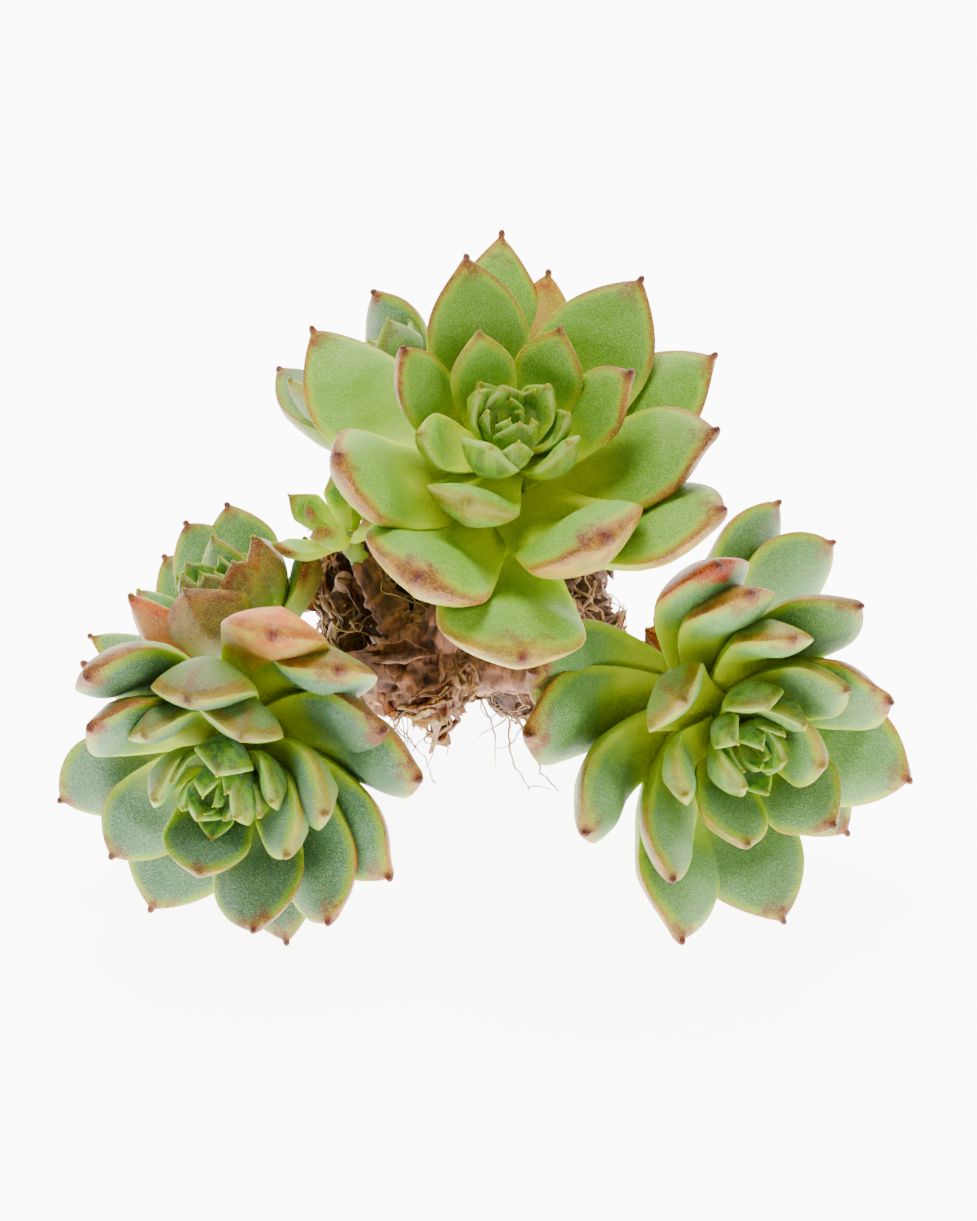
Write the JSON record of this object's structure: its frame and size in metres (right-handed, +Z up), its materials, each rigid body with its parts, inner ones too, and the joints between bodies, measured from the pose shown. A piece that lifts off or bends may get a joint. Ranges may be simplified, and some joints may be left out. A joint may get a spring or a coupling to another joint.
{
  "type": "bare-rooted potted succulent",
  "caption": "Clump of plump pointed-leaf rosettes on short woody stems, lifted from its pot, with dry matted roots and soil beneath.",
  "frame": {"origin": "middle of the clump's footprint on the surface it lies on", "axes": "+X to the right along the clump's longest way, +Y to the back, +Z up"},
  "size_m": [0.1228, 0.089, 0.0951],
  "materials": {
    "leaf": "fleshy full-grown leaf with a pale powdery bloom, lime foot and red-brown rim and tip",
    "young_leaf": "smaller, bluer and smoother young leaf on its green shoot",
    "bark": "dry fissured woody stem with leaf scars",
    "roots": "dry matted root fibre and crumbly old soil"
  },
  "bodies": {
    "root": {"back_heart": "young_leaf", "back_leaf_01": "leaf", "back_leaf_02": "leaf", "back_leaf_03": "leaf", "back_leaf_04": "leaf", "left_heart": "young_leaf", "left_leaf_01": "leaf", "left_leaf_02": "leaf", "left_leaf_03": "leaf", "left_leaf_04": "leaf", "left_leaf_05": "leaf", "left_leaf_06": "leaf", "left_leaf_07": "leaf", "left_leaf_08": "leaf", "left_leaf_09": "leaf", "left_leaf_10": "leaf", "left_leaf_11": "leaf", "left_leaf_12": "leaf", "left_leaf_13": "leaf", "left_leaf_14": "leaf", "offset": "young_leaf", "rear_heart": "young_leaf", "rear_leaf_01": "leaf", "rear_leaf_02": "leaf", "rear_leaf_03": "leaf", "right_heart": "young_leaf", "right_leaf_01": "leaf", "right_leaf_02": "leaf", "right_leaf_03": "leaf", "right_leaf_04": "leaf", "right_leaf_05": "leaf", "right_leaf_06": "leaf", "right_leaf_07": "leaf", "right_leaf_08": "leaf", "right_leaf_09": "leaf", "right_leaf_10": "leaf", "right_leaf_11": "leaf", "right_leaf_12": "leaf", "right_leaf_13": "leaf", "right_leaf_14": "leaf", "root_mass": "roots", "top_heart": "young_leaf", "top_leaf_01": "leaf", "top_leaf_02": "leaf", "top_leaf_03": "leaf", "top_leaf_04": "leaf", "top_leaf_05": "leaf", "top_leaf_06": "leaf", "top_leaf_07": "leaf", "top_leaf_08": "leaf", "top_leaf_09": "leaf", "top_leaf_10": "leaf", "top_leaf_11": "leaf", "top_leaf_12": "leaf", "top_leaf_13": "leaf", "top_leaf_14": "leaf", "woody_crown": "bark"}
  },
  "joints": []
}
